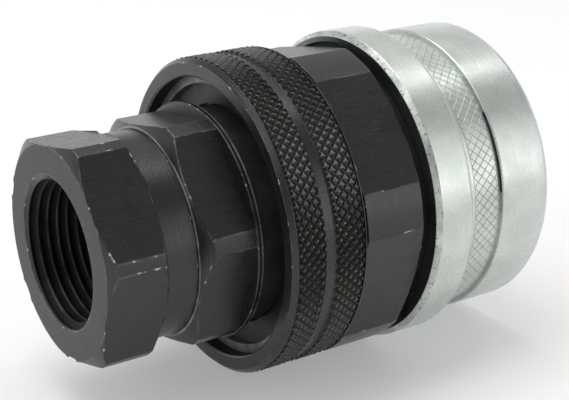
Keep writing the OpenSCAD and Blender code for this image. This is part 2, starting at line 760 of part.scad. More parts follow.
module locking_sleeve() {
    slot_w = key_pin_d + 2 * axial_play;
    slot_end = x_key + sleeve_travel + key_pin_d / 2 + 2 * axial_play;
    color("#c8ccc8")
        difference() {
            along_axis()
                rotate_extrude()
                    sleeve_section();
            around_axis(key_pins, key_angle)
                translate([nut_spigot_r, -slot_w / 2, x_sleeve - overlap])
                    cube([key_slot_r - nut_spigot_r, slot_w, slot_end - x_sleeve + overlap]);
        }
}

port_adapter();
adapter_o_ring();
adapter_backup_ring();
valve_body();
nose_o_ring();
nose_backup_ring();
poppet_guide();
guide_bush();
poppet();
poppet_o_ring();
poppet_spring();
coupling_nut();
nut_snap_ring();
rear_thrust_washer();
front_thrust_washer();
nut_dust_seal();
sleeve_key_pins();
sleeve_spring();
sleeve_stop_ring();
locking_sleeve();
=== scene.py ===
# %% [markdown]
# # A screw-to-connect quick coupler, dressed over its CAD frame
# The coupler is a stack of turned steel pieces on one axis. The CAD model gives each piece its
# place and its motion. This lesson gives the pieces that are seen their cut threads, knurls, worn
# edges and finishes.

# %% Load the frame
import json
import math

import bmesh
import bpy
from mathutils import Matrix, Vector

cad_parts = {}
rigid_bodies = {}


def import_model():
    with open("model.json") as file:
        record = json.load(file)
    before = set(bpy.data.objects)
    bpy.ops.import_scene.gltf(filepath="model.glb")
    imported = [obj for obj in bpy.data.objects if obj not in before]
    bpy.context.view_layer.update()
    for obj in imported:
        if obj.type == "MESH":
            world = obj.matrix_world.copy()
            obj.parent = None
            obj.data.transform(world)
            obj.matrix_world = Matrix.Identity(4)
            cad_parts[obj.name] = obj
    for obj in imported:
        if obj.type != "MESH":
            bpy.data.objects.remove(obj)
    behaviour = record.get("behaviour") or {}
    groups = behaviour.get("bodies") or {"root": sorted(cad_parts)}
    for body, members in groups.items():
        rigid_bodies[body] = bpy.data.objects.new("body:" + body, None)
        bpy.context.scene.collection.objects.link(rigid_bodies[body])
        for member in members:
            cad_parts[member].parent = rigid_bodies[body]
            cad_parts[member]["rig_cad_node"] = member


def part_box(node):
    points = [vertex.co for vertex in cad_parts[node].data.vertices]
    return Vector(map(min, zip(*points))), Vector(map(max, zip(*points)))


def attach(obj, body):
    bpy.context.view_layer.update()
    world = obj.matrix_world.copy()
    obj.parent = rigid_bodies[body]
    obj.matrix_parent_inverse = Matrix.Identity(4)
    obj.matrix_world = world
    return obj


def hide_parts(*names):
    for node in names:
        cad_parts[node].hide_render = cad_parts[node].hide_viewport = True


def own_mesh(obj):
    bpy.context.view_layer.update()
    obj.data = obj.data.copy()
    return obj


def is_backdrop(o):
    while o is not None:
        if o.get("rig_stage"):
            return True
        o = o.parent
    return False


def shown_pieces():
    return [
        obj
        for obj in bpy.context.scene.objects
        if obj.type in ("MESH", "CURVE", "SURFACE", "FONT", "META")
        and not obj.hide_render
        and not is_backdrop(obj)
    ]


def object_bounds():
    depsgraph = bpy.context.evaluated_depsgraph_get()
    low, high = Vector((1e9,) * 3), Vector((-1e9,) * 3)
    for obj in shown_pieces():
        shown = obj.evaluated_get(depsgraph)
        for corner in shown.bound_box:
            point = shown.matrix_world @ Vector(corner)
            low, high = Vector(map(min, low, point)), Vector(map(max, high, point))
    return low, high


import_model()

MM = 0.001
cad_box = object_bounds()
bpy.ops.object.select_all(action="DESELECT")
bpy.context.scene.view_settings.view_transform = "Standard"
print("CAD box in mm:", [[round(v / MM, 2) for v in corner] for corner in cad_box])

# %% [markdown]
# ## Camera
# The photograph looks at the port end from the left and from above, through a long lens. A camera
# is placed by an aim point, two angles and a distance, because those are what a photographer would
# set. The lamps are placed in the same way later on.

# %% Camera
AIM = Vector((44.6, 0.0, -0.2)) * MM
AZIMUTH, ELEVATION = -33.27, 21.39
DISTANCE = 251 * MM
LENS, SENSOR = 88.1, 36.0


def towards(azimuth, elevation):
    """The direction at two angles in degrees. Azimuth goes from -Y towards +X."""
    a, e = math.radians(azimuth), math.radians(elevation)
    return Vector((math.sin(a) * math.cos(e), -math.cos(a) * math.cos(e), math.sin(e)))


backwards = towards(AZIMUTH, ELEVATION)
bpy.ops.object.camera_add(location=AIM + backwards * DISTANCE)
camera = bpy.context.object
camera.name = "photo_camera"
camera.rotation_euler = (-backwards).to_track_quat("-Z", "Y").to_euler()
camera.data.lens = LENS
camera.data.sensor_width = SENSOR
camera.data.clip_start = 0.01
camera.data.clip_end = 20.0
bpy.context.scene.camera = camera
print("camera at", [round(v / MM, 1) for v in camera.location])

# %% [markdown]
# ## Colours and nodes
# A colour is written as it would be picked on a screen, and shaders want it linear, so one
# function turns the one into the other. A second one adds a node with its settings and links,
# which keeps materials short.

# %% Colour and node helpers
def linear(hex_colour):
    """An sRGB hex colour as the linear colour that shaders use."""
    channels = [int(hex_colour[i:i + 2], 16) / 255 for i in (1, 3, 5)]
    return [c / 12.92 if c <= 0.04045 else ((c + 0.055) / 1.055) ** 2.4 for c in channels] + [1.0]


def add_node(tree, kind, values=None, links=None, **settings):
    """A new node with its settings, the values of its sockets and the links into them."""
    made = tree.nodes.new(kind)
    for setting, value in settings.items():
        setattr(made, setting, value)
    for socket, value in (values or {}).items():
        made.inputs[socket].default_value = value
    for socket, source in (links or {}).items():
        tree.links.new(source, made.inputs[socket])
    return made


print("black steel in linear colour:", [round(c, 4) for c in linear("#1a1b1b")])

# %% [markdown]
# ## Floor
# The photograph is a cut-out on white. A pale floor gives that white and still takes the coupler's
# shadow. It would look grey to the camera and in reflections, so a share of it glows for those
# rays alone.

# %% Floor
FLOOR_SIZE, FLOOR_GAP, GLOW_SHARE = 6.0, 0.05, 0.3
bpy.ops.mesh.primitive_plane_add(size=FLOOR_SIZE, location=(0, 0, cad_box[0].z - FLOOR_GAP * MM))
floor = bpy.context.object
floor.name = "floor"
floor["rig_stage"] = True
paper = bpy.data.materials.new("white_paper_floor")
paper.use_nodes = True
tree = paper.node_tree
tree.nodes.clear()
path = add_node(tree, "ShaderNodeLightPath")
seen = add_node(tree, "ShaderNodeMath", operation="MAXIMUM",
                links={0: path.outputs["Is Camera Ray"], 1: path.outputs["Is Glossy Ray"]})
seen = add_node(tree, "ShaderNodeMath", operation="MAXIMUM",
                links={0: seen.outputs[0], 1: path.outputs["Is Transmission Ray"]})
share = add_node(tree, "ShaderNodeMath", {1: GLOW_SHARE}, {0: seen.outputs[0]},
                 operation="MULTIPLY")
matt = add_node(tree, "ShaderNodeBsdfDiffuse", {"Color": linear("#f4f4f4")})
glow = add_node(tree, "ShaderNodeEmission", {"Color": linear("#ffffff"), "Strength": 1.0})
mixed = add_node(tree, "ShaderNodeMixShader",
                 links={0: share.outputs[0], 1: matt.outputs[0], 2: glow.outputs[0]})
add_node(tree, "ShaderNodeOutputMaterial", links={"Surface": mixed.outputs[0]})
floor.data.materials.append(paper)
print("floor at", round(floor.location.z / MM, 2), "mm")

# %% [markdown]
# ## World
# Polished pieces show the room around them. This room is white at the horizon and grey overhead,
# and dimmer on the camera's side, as in a studio where only the backdrop is lit. A ramp over the
# height of each ray gives the first, and its angle to one dim direction the second.

# %% World
SKY = [(0.0, "#ffffff"), (0.17, "#e0e0e0"), (0.35, "#b0b0b0"), (0.6, "#929292"), (0.85, "#848484")]
SKY_LEVEL, DIM_LEVEL = 1.4, 0.55
DIM_SIDE = Vector((-0.65, -0.70, 0.30)).normalized()
DIM_FROM, DIM_FULL = 0.3, 0.95
world = bpy.data.worlds.new("studio")
bpy.context.scene.world = world
world.use_nodes = True
tree = world.node_tree
tree.nodes.clear()
direction = add_node(tree, "ShaderNodeTexCoord").outputs["Generated"]
height = add_node(tree, "ShaderNodeSeparateXYZ", links={0: direction})
ramp = add_node(tree, "ShaderNodeValToRGB", links={0: height.outputs["Z"]})
while len(ramp.color_ramp.elements) < len(SKY):
    ramp.color_ramp.elements.new(0.5)
for element, (place, colour) in zip(ramp.color_ramp.elements, SKY):
    element.position = place
    element.color = linear(colour)
facing = add_node(tree, "ShaderNodeVectorMath", {1: DIM_SIDE}, {0: direction},
                  operation="DOT_PRODUCT")
level = add_node(
    tree, "ShaderNodeMapRange",
    {"From Min": DIM_FROM, "From Max": DIM_FULL, "To Min": SKY_LEVEL, "To Max": DIM_LEVEL},
    {"Value": facing.outputs["Value"]}, interpolation_type="SMOOTHSTEP")
sky = add_node(tree, "ShaderNodeBackground",
               links={"Color": ramp.outputs["Color"], "Strength": level.outputs[0]})
add_node(tree, "ShaderNodeOutputWorld", links={"Surface": sky.outputs[0]})
print("sky stops:", len(SKY))

# %% [markdown]
# ## Lamps
# A round piece shows each lamp as one long streak, so the streaks in the photograph tell where its
# lamps stood. A softbox in front on the right makes the broad light patch along every round piece,
# and a strip on the right the white streak on the bright sleeve, with a faint one behind it to
# soften the streak's far side. A softbox on the left lights the edges that face the port end, and
# a large lamp overhead lights the floor.

# %% Lamps
# Name, azimuth and elevation in degrees, distance and size in metres, power in watts.
LAMPS = [
    ("front_softbox", 36, 16, 0.8, (0.40, 0.50), 0.56),
    ("side_strip", 92, 57, 0.8, (0.12, 0.34), 0.42),
    ("back_softbox", 128, 46, 0.8, (0.45, 0.40), 0.20),
    ("left_softbox", -86, 36, 0.8, (0.40, 0.36), 0.85),
    ("overhead_softbox", 215, 76, 0.9, (0.70, 0.70), 6.2),
]
for name, azimuth, elevation, distance, size, watts in LAMPS:
    place = AIM + towards(azimuth, elevation) * distance
    bpy.ops.object.light_add(type="AREA", location=place)
    lamp = bpy.context.object
    lamp.name = name
    lamp.rotation_euler = (AIM - place).to_track_quat("-Z", "Y").to_euler()
    lamp.data.shape = "RECTANGLE"
    lamp.data.size, lamp.data.size_y = size
    lamp.data.energy = watts

# %% [markdown]
# ## Finishes
# Every finish here has the same four layers, at sizes in real millimetres: broad blotches of tone,
# a fine grain, the lines that a tool left, and specks where the skin is rubbed through. They could
# be painted on, but noise on Object coordinates follows the piece from all sides. Only the sizes,
# tones and gloss differ from finish to finish, so one recipe makes them all.

# %% Recipe for a finish
BLOTCH = (5, 5, 5)
SPECK = (0.7, 0.5, 0.5)
# A lathe's rings go by the place along the axis and the distance from it, so that a turned side
# shows hoops and a faced end shows circles. The third size is how far a ring runs on before it
# fades. Real rings are about 0.1 mm apart, and are drawn twice as coarse so that they show in the
# render.
RINGS = (0.22, 0.22, 14)
# Noise stays near its middle value, so these are the parts of its range that are drawn out.
TONE_LOW, TONE_HIGH = 0.40, 0.62
GLOSS_LOW, GLOSS_HIGH = 0.7, 1.3
SPECK_EDGE = 0.06
# A Mix node has sockets for several kinds of data, and these are the ones for colours.
FACTOR, COLOUR_A, COLOUR_B, COLOUR_OUT = 0, 6, 7, 2


def finish_of(name, tones, rough, metallic, grain_mm, line_mm, bump_mm,
              wear=None, ior=1.5, speck_mm=SPECK):
    """Tones and roughness each run between two values.

    Wear is where the specks begin in the noise, and their colour.
    """
    material = bpy.data.materials.new(name)
    material.use_nodes = True
    tree = material.node_tree
    tree.nodes.clear()
    place = add_node(tree, "ShaderNodeTexCoord").outputs["Object"]
    xyz = add_node(tree, "ShaderNodeSeparateXYZ", links={0: place})
    off_axis = add_node(tree, "ShaderNodeVectorMath", {1: (0, 1, 1)}, {0: place},
                        operation="MULTIPLY")
    from_axis = add_node(tree, "ShaderNodeVectorMath", links={0: off_axis.outputs[0]},
                         operation="LENGTH")
    lathe = add_node(tree, "ShaderNodeCombineXYZ", links={
        "X": xyz.outputs["X"], "Y": from_axis.outputs["Value"], "Z": xyz.outputs["Z"]}).outputs[0]
    layers = []
    for size_mm, detail in ((BLOTCH, 3.0), (grain_mm, 2.0), (line_mm, 2.0), (speck_mm, 4.0)):
        scaled = add_node(tree, "ShaderNodeMapping", {"Scale": [1 / (s * MM) for s in size_mm]},
                          {"Vector": lathe if size_mm == RINGS else place})
        noise = add_node(tree, "ShaderNodeTexNoise",
                         {"Scale": 1.0, "Detail": detail, "Roughness": 0.6},
                         {"Vector": scaled.outputs[0]})
        layers.append(noise.outputs["Fac"])
    blotch, grain, lines, specks = layers
    share = add_node(tree, "ShaderNodeMapRange", {"From Min": TONE_LOW, "From Max": TONE_HIGH},
                     {"Value": blotch})
    colour = add_node(tree, "ShaderNodeMix",
                      {COLOUR_A: linear(tones[0]), COLOUR_B: linear(tones[1])},
                      {FACTOR: share.outputs[0]}, data_type="RGBA")
    if wear:
        rubbed = add_node(tree, "ShaderNodeMapRange",
                          {"From Min": wear[0], "From Max": wear[0] + SPECK_EDGE},
                          {"Value": specks})
        colour = add_node(tree, "ShaderNodeMix", {COLOUR_B: linear(wear[1])},
                          {FACTOR: rubbed.outputs[0], COLOUR_A: colour.outputs[COLOUR_OUT]},
                          data_type="RGBA")
    surface = add_node(tree, "ShaderNodeMath", links={0: grain, 1: lines},
                       operation="ADD").outputs[0]
    gloss = add_node(
        tree, "ShaderNodeMapRange",
        {"From Min": GLOSS_LOW, "From Max": GLOSS_HIGH, "To Min": rough[0], "To Max": rough[1]},
        {"Value": surface})
    relief = add_node(tree, "ShaderNodeBump", {"Strength": 1.0, "Distance": bump_mm * MM},
                      {"Height": surface})
    shader = add_node(
        tree, "ShaderNodeBsdfPrincipled", {"Metallic": metallic, "IOR": ior},
        {"Base Color": colour.outputs[COLOUR_OUT], "Roughness": gloss.outputs[0],
         "Normal": relief.outputs[0]})
    add_node(tree, "ShaderNodeOutputMaterial", links={"Surface": shader.outputs[0]})
    return material


print("layers of a finish: blotches of", BLOTCH[0], "mm, grain, tool lines, specks of",
      SPECK[0], "mm")

# %% [markdown]
# ## Black zinc on steel
# Most of the coupler is zinc plated steel, turned black in a bath and sealed. That skin is dark, a
# little glossy and slightly sandy. It isn't bare metal, so it is shaded as a dark plastic-like
# coat, which also turns light grey where it is seen at a glancing angle. Turning leaves fine rings
# around the axis, and milling a sandy flat.

# %% Black zinc
# The real grit is under 0.1 mm, and is drawn several times as coarse so that it shows in the
# render.
GRIT = (0.25, 0.25, 0.25)
SAND = (0.4, 0.4, 0.4)
MILLING = (5, 0.35, 0.35)
SEALER_IOR = 1.55
# Fine rings that stretch each reflection along the axis, and a few grey specks.
black_turned = finish_of(
    "black_zinc_turned_steel", tones=("#111413", "#1b1a18"), rough=(0.23, 0.35), metallic=0.0,
    grain_mm=GRIT, line_mm=RINGS, bump_mm=0.028, wear=(0.73, "#5d605d"), ior=SEALER_IOR)
# A sandy sparkle with faint lines along the flat.
black_milled = finish_of(
    "black_zinc_milled_steel", tones=("#101312", "#191816"), rough=(0.24, 0.38), metallic=0.0,
    grain_mm=SAND, line_mm=MILLING, bump_mm=0.050, wear=(0.71, "#666966"), ior=SEALER_IOR)
# An even, flat grey, because the sealer is thin on the faced end.
black_faced = finish_of(
    "black_zinc_faced_steel", tones=("#101312", "#191816"), rough=(0.34, 0.46), metallic=0.0,
    grain_mm=GRIT, line_mm=(0.5, 0.5, 0.5), bump_mm=0.012, wear=(0.72, "#5d605d"), ior=1.45)
# Hardly any gloss: these dull finishes are painted shade that keeps the bore, the gaps, the nut's
# mouth and the sleeve's skirt dark, in place of the sealer's shine.
bore_shade = finish_of(
    "dull_black_zinc_painted_bore_shade", tones=("#191c1b", "#222524"), rough=(0.55, 0.7), metallic=0.0,
    grain_mm=GRIT, line_mm=RINGS, bump_mm=0.006, ior=1.2)
gap_shade = finish_of(
    "dull_painted_gap_shade", tones=("#2a2e2c", "#363a38"), rough=(0.55, 0.7), metallic=0.0,
    grain_mm=GRIT, line_mm=RINGS, bump_mm=0.006, ior=1.25)
# Deep brown-black, so that the grooves of the knurl stay darker than its tips.
knurl_root = finish_of(
    "dirty_knurl_grooves", tones=("#0f110f", "#1b1812"), rough=(0.30, 0.44), metallic=0.0,
    grain_mm=GRIT, line_mm=(0.6, 0.6, 0.6), bump_mm=0.030)
print("materials so far, with the floor's:", len(bpy.data.materials))

# %% [markdown]
# ## Rubbed edges
# Hands, wrenches and other couplers rub the skin off what stands proud, and grey steel shows there.
# A mask over the whole piece could find such edges, but each bevel already has its own faces, so
# these take a finish of their own that is part skin and part steel.

# %% Rubbed black zinc
# Broken bright lines along the corners, in spots of a millimetre or two.
rubbed_edge = finish_of(
    "rubbed_black_zinc_edge", tones=("#171818", "#4c4f4d"), rough=(0.28, 0.42), metallic=0.2,
    grain_mm=GRIT, line_mm=(0.9, 0.9, 0.9), bump_mm=0.006, wear=(0.60, "#b4b7b3"),
    speck_mm=(2.2, 1.6, 1.6))
# A light grey line along the flange's far edge, nearly all the way round: partly rubbed skin,
# partly a painted highlight where the round edge catches the light.
rim_wear_and_highlight = finish_of(
    "rubbed_rim_with_painted_highlight", tones=("#5c5e5c", "#949693"), rough=(0.30, 0.44), metallic=0.3,
    grain_mm=GRIT, line_mm=(0.4, 3, 3), bump_mm=0.008, wear=(0.60, "#9a9d99"))
# Dull grey points on the diamonds, lighter where the hand grips more.
knurl_tip = finish_of(
    "rubbed_knurl_tips", tones=("#1c1e1d", "#666865"), rough=(0.28, 0.42), metallic=0.2,
    grain_mm=(0.5, 0.5, 0.5), line_mm=(1.6, 1.6, 1.6), bump_mm=0.020)
# Thin light lines that make the thread's turns readable in the dark bore.
thread_crest = finish_of(
    "rubbed_thread_crests", tones=("#434644", "#6a6d6a"), rough=(0.34, 0.48), metallic=0.3,
    grain_mm=GRIT, line_mm=(0.8, 0.8, 0.8), bump_mm=0.006)
print("materials so far:", len(bpy.data.materials))

# %% [markdown]
# ## Bright zinc
# The sleeve is zinc plated too, but clear: a pale grey with a hint of green, less mirror-like than
# bare steel. Plating grows in tiny crystals that scatter some light, so it is shaded as not quite
# all metal.

# %% Bright zinc
ZINC_METAL = 0.72
DULL_ZINC = "#8f958f"
# Soft bright streaks, drawn out by the rings, and small dark pits.
bright_zinc = finish_of(
    "bright_zinc_turned_steel", tones=("#c6ccc8", "#d1d6d2"), rough=(0.25, 0.37),
    metallic=ZINC_METAL, grain_mm=GRIT, line_mm=RINGS, bump_mm=0.016, wear=(0.71, DULL_ZINC))
# Nicks and bruises where the sleeve's rear edge meets other things.
zinc_nicked = finish_of(
    "nicked_zinc_chamfer", tones=("#b4b9b4", "#d9ded9"), rough=(0.28, 0.42), metallic=ZINC_METAL,
    grain_mm=GRIT, line_mm=(0.6, 0.6, 0.6), bump_mm=0.030, wear=(0.58, "#6b706b"))
# Darker and duller: grime in the scratched grooves of the fine knurl together with painted shade,
# so that its lines read. It also paints a fainter shade where the painted shade at the foot of the
# front band ends.
zinc_groove_shade = finish_of(
    "dull_zinc_with_painted_groove_shade", tones=("#a0a6a0", "#b4bab4"), rough=(0.40, 0.55),
    metallic=ZINC_METAL, grain_mm=GRIT, line_mm=RINGS, bump_mm=0.006)
# Nearly black and without gloss: painted shade and a painted dark reflection on the sleeve's rear
# face and at the foot of its front band.
zinc_painted_shade = finish_of(
    "painted_shade_on_zinc", tones=("#1c1d1b", "#2e2f2b"), rough=(0.50, 0.64), metallic=0.0,
    grain_mm=GRIT, line_mm=(0.8, 0.8, 0.8), bump_mm=0.008, ior=1.3)
print("materials so far:", len(bpy.data.materials))

# %% [markdown]
# ## Painted shade that thins out
# The painted shade is black on the near side and thins out towards the far side. Two finishes would
# meet in a hard line, so the shade's colour fades into that of dull zinc across a few millimetres.

# %% Fading painted shade
FADE_FROM, FADE_TO = 0.5, 12.0
tree = zinc_painted_shade.node_tree
skin = next(node for node in tree.nodes if node.type == "BSDF_PRINCIPLED").inputs["Base Color"]
place = add_node(tree, "ShaderNodeTexCoord").outputs["Object"]
across = add_node(tree, "ShaderNodeSeparateXYZ", links={0: place})
share = add_node(tree, "ShaderNodeMapRange",
                 {"From Min": FADE_FROM * MM, "From Max": FADE_TO * MM},
                 {"Value": across.outputs["Y"]})
faded = add_node(tree, "ShaderNodeMix", {COLOUR_B: linear(DULL_ZINC)},
                 {FACTOR: share.outputs[0], COLOUR_A: skin.links[0].from_socket},
                 data_type="RGBA")
tree.links.new(faded.outputs[COLOUR_OUT], skin)
print("painted shade fades over", FADE_TO - FADE_FROM, "mm")

# %% [markdown]
# ## Finishes of the inner pieces
# Rings, seals, springs, guide and poppet are steel, bronze, brass, rubber and plastic. Most of them
# show only from the mating end or when the part is taken apart, but each is still the stuff it
# would be.

# %% Inner finishes
# Grey phosphate, kept light so that the snap ring shows as a light arc in the nut's dark mouth:
# partly the rings' own grey, partly a painted highlight.
ring_steel = finish_of(
    "phosphated_spring_steel_with_painted_highlight", tones=("#676a6b", "#8f9394"), rough=(0.36, 0.5), metallic=0.5,
    grain_mm=GRIT, line_mm=(0.8, 0.8, 0.8), bump_mm=0.005)
# Blue-black oil finish: darker than bare steel, with a soft metal shine.
oiled_steel = finish_of(
    "oil_blackened_ground_steel", tones=("#1c1d1e", "#27292a"), rough=(0.34, 0.48), metallic=0.2,
    grain_mm=GRIT, line_mm=(0.8, 0.8, 0.8), bump_mm=0.005)
# Bare steel, bright and grey: drawn smooth in the wire, with fine rings where it was turned.
spring_wire = finish_of(
    "drawn_spring_wire", tones=("#7f8385", "#9a9ea0"), rough=(0.26, 0.38), metallic=1.0,
    grain_mm=GRIT, line_mm=(1.5, 1.5, 1.5), bump_mm=0.004)
turned_steel = finish_of(
    "plain_turned_steel", tones=("#aaadad", "#b8bbbb"), rough=(0.24, 0.36), metallic=1.0,
    grain_mm=GRIT, line_mm=RINGS, bump_mm=0.012)
# Warm yellow with rings, and a browner, porous one that drinks its gloss.
brass = finish_of(
    "turned_brass", tones=("#a98445", "#bd9a58"), rough=(0.24, 0.36), metallic=1.0,
    grain_mm=GRIT, line_mm=RINGS, bump_mm=0.005)
bronze = finish_of(
    "sintered_bronze", tones=("#7a6038", "#97784a"), rough=(0.38, 0.5), metallic=1.0,
    grain_mm=GRIT, line_mm=GRIT, bump_mm=0.008)
# Soft black without highlights, and waxy white.
rubber = finish_of(
    "nitrile_rubber", tones=("#141414", "#1c1c1c"), rough=(0.5, 0.62), metallic=0.0,
    grain_mm=GRIT, line_mm=(0.6, 0.6, 0.6), bump_mm=0.006)
ptfe = finish_of(
    "pressed_ptfe", tones=("#dedace", "#ebe8de"), rough=(0.45, 0.58), metallic=0.0,
    grain_mm=GRIT, line_mm=(1, 1, 1), bump_mm=0.004)
print("materials made:", len(bpy.data.materials))

# %% [markdown]
# ## Turning on the lathe
# Nearly every piece here was turned, so nearly every mesh starts the same way: a single point is
# extruded from corner to corner along half of the section, and the outline is spun once around the
# axis. Angles around the axis start at the viewer's side, which is -Y, and go up towards +Z.

# %% Turning helpers
MERGE = 0.002 * MM


def on_ring(x, r, angle):
    """The point at a station, a radius and an angle around the axis."""
    turn = math.radians(angle)
    return Vector((x, -r * math.cos(turn), r * math.sin(turn))) * MM


def draw_outline(name, outline, angle):
    """A chain of edges through stations and radii, which is left open in edit mode."""
    bpy.ops.object.select_all(action="DESELECT")
    bpy.ops.mesh.primitive_plane_add(size=MM, location=on_ring(*outline[0], angle))
    sketch = bpy.context.object
    sketch.name = sketch.data.name = name
    bpy.ops.object.transform_apply(location=True, rotation=True, scale=True)
    bpy.ops.object.mode_set(mode="EDIT")
    bpy.ops.mesh.select_mode(type="VERT")
    bpy.ops.mesh.select_all(action="SELECT")
    bpy.ops.mesh.merge(type="CENTER")
    for here, there in zip(outline, outline[1:]):
        step = on_ring(*there, angle) - on_ring(*here, angle)
        bpy.ops.mesh.extrude_vertices_move(TRANSFORM_OT_translate={"value": step})
    return sketch


def close_up(distance=MERGE):
    """Merges the points that meet and turns all faces outwards."""
    bpy.ops.mesh.select_all(action="SELECT")
    bpy.ops.mesh.remove_doubles(threshold=distance)
    bpy.ops.mesh.normals_make_consistent(inside=False)


def turned(name, section, segments, finishes, angle=0.0):
    """A round piece from one half of its section, with its list of finishes."""
    piece = draw_outline(name, section + section[:1], angle)
    bpy.ops.mesh.select_all(action="SELECT")
    bpy.ops.mesh.spin(steps=segments, angle=2 * math.pi, center=(0, 0, 0), axis=(1, 0, 0))
    close_up()
    bpy.ops.object.mode_set(mode="OBJECT")
    for finish in finishes:
        piece.data.materials.append(finish)
    print(name, "turned:", len(piece.data.polygons), "faces")
    return piece


print("lathe ready, points nearer than", MERGE / MM, "mm are merged")

# %% [markdown]
# ## Breaking edges
# No machined edge is left sharp, because it would cut the hand. A broken edge also catches a line
# of light, which makes metal look solid. Edges are selected by their place or by how sharp they
# are, and bevelled. The new faces can take a finish of their own, such as that of a rubbed edge.

# %% Edge helpers
# How near in mm a point is to the place where it belongs, and the angle of a sharp edge in degrees.
NEAR, SHARP = 0.02, 15


def make_active(piece):
    bpy.ops.object.select_all(action="DESELECT")
    piece.select_set(True)
    bpy.context.view_layer.objects.active = piece


def edit(piece, select_mode):
    make_active(piece)
    bpy.ops.object.mode_set(mode="EDIT")
    bpy.ops.mesh.select_mode(type=select_mode)
    bpy.ops.mesh.select_all(action="DESELECT")
    return bmesh.from_edit_mesh(piece.data)


def radius(point):
    return math.hypot(point.y, point.z) / MM


def index_of(piece, finish):
    """A face names its finish by the place in the piece's list."""
    return piece.data.materials.find(finish.name)


def bevel_selected(piece, width, segments, finish):
    bmesh.update_edit_mesh(piece.data)
    bpy.ops.mesh.bevel(offset=width * MM, segments=segments, affect="EDGES",
                       material=index_of(piece, finish) if finish else -1)
    bpy.ops.object.mode_set(mode="OBJECT")


def bevel_rings(piece, rings, width, segments=2, finish=None):
    """Bevels the round edges at the given stations and radii."""
    mesh = edit(piece, "EDGE")
    for edge in mesh.edges:
        ends = [(v.co.x / MM, radius(v.co)) for v in edge.verts]
        edge.select_set(any(
            all(abs(x - ring_x) < NEAR and abs(r - ring_r) < NEAR for x, r in ends)
            for ring_x, ring_r in rings))
    bevel_selected(piece, width, segments, finish)


def bevel_sharp(piece, width, segments=2, finish=None):
    """Breaks every sharp outer edge, and leaves inner corners alone."""
    mesh = edit(piece, "EDGE")
    bpy.ops.mesh.edges_select_sharp(sharpness=math.radians(SHARP))
    for edge in mesh.edges:
        if edge.select and not edge.is_convex:
            edge.select_set(False)
    bevel_selected(piece, width, segments, finish)


print("edges can be broken by place, or where they are sharper than", SHARP, "degrees")

# %% [markdown]
# ## Cutting tools
# Some cuts are easier with a tool: a second mesh that a Boolean modifier takes out of the first or
# joins to it. Modifiers are applied at once, so that the next step works on real faces, and the
# tool is thrown away.

# %% Modifier helpers
def apply_modifier(piece, kind, **settings):
    make_active(piece)
    modifier = piece.modifiers.new(kind.lower(), kind)
    for setting, value in settings.items():
        setattr(modifier, setting, value)
    bpy.ops.object.modifier_apply(modifier=modifier.name)


def cut_with(piece, tool, operation="DIFFERENCE"):
    apply_modifier(piece, "BOOLEAN", operation=operation, solver="EXACT", object=tool)
    bpy.data.objects.remove(tool, do_unlink=True)


print("tools can cut and join")

# %% [markdown]
# ## Handing a piece to the frame
# A finished piece is shaded smooth, except where faces meet at a clear angle, and weighted normals
# keep the flats flat beside their small bevels. Then the piece is tied to the body that carries it,
# and the CAD node that it stands for is hidden.

# %% Finishing helper
SMOOTH_BELOW = 30


def finish_piece(piece, body, node):
    """Smooth shading that keeps flats flat, and the piece's place on the CAD frame."""
    make_active(piece)
    bpy.ops.object.shade_smooth_by_angle(angle=math.radians(SMOOTH_BELOW))
    apply_modifier(piece, "WEIGHTED_NORMAL", keep_sharp=True, weight=50)
    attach(piece, body)
    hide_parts(node)
    edges = bmesh.new()
    edges.from_mesh(piece.data)
    loose = sum(not e.is_manifold for e in edges.edges)
    edges.free()
    print(piece.name, "done:", len(piece.data.polygons), "faces,", loose, "open edges")


# %% [markdown]
# ## Milling the hexagons
# A wrench hexagon starts as a round bar, and a cutter takes six flats off it. Where the flats don't
# meet, a strip of the round bar is left at each corner. Six bisect cuts do just that, and fill the
# faces they open.

# %% Milling helper
SIDES = 6
SLIVER = 0.02
SAME_WAY, ON_FLAT = 0.9999, 0.01


def mill_hexagon(piece, across, corner_angle, finish):
    """Takes six flats off a round piece and gives them a finish."""
    edit(piece, "FACE")
    normals = []
    for side in range(SIDES):
        normal = on_ring(0, 1, corner_angle + 180 / SIDES + 360 / SIDES * side).normalized()
        normals.append(normal)
        bpy.ops.mesh.select_all(action="SELECT")
        bpy.ops.mesh.bisect(plane_co=normal * across / 2 * MM, plane_no=normal,
                            use_fill=True, clear_outer=True)
    close_up(SLIVER * MM)
    mesh = bmesh.from_edit_mesh(piece.data)
    flats = 0
    for face in mesh.faces:
        middle = face.calc_center_median()
        if any(face.normal.dot(n) > SAME_WAY and abs(middle.dot(n) / MM - across / 2) < ON_FLAT
               for n in normals):
            face.material_index = index_of(piece, finish)
            flats += 1
    bmesh.update_edit_mesh(piece.data)
    bpy.ops.object.mode_set(mode="OBJECT")
    print(piece.name, "milled:", flats, "flat faces")


print("mill ready for", SIDES, "flats")

# %% [markdown]
# ## Cutting a thread
# The threads are real helices. The tap is made first: one pitch of the profile, wound along the
# axis by the Screw modifier and sawn square at both ends. A Boolean then takes the tap out of the
# blank.

# %% Tap helper
CREST_SHARE, ROOT_SHARE = 0.2, 0.16
TAP_STEPS = 96


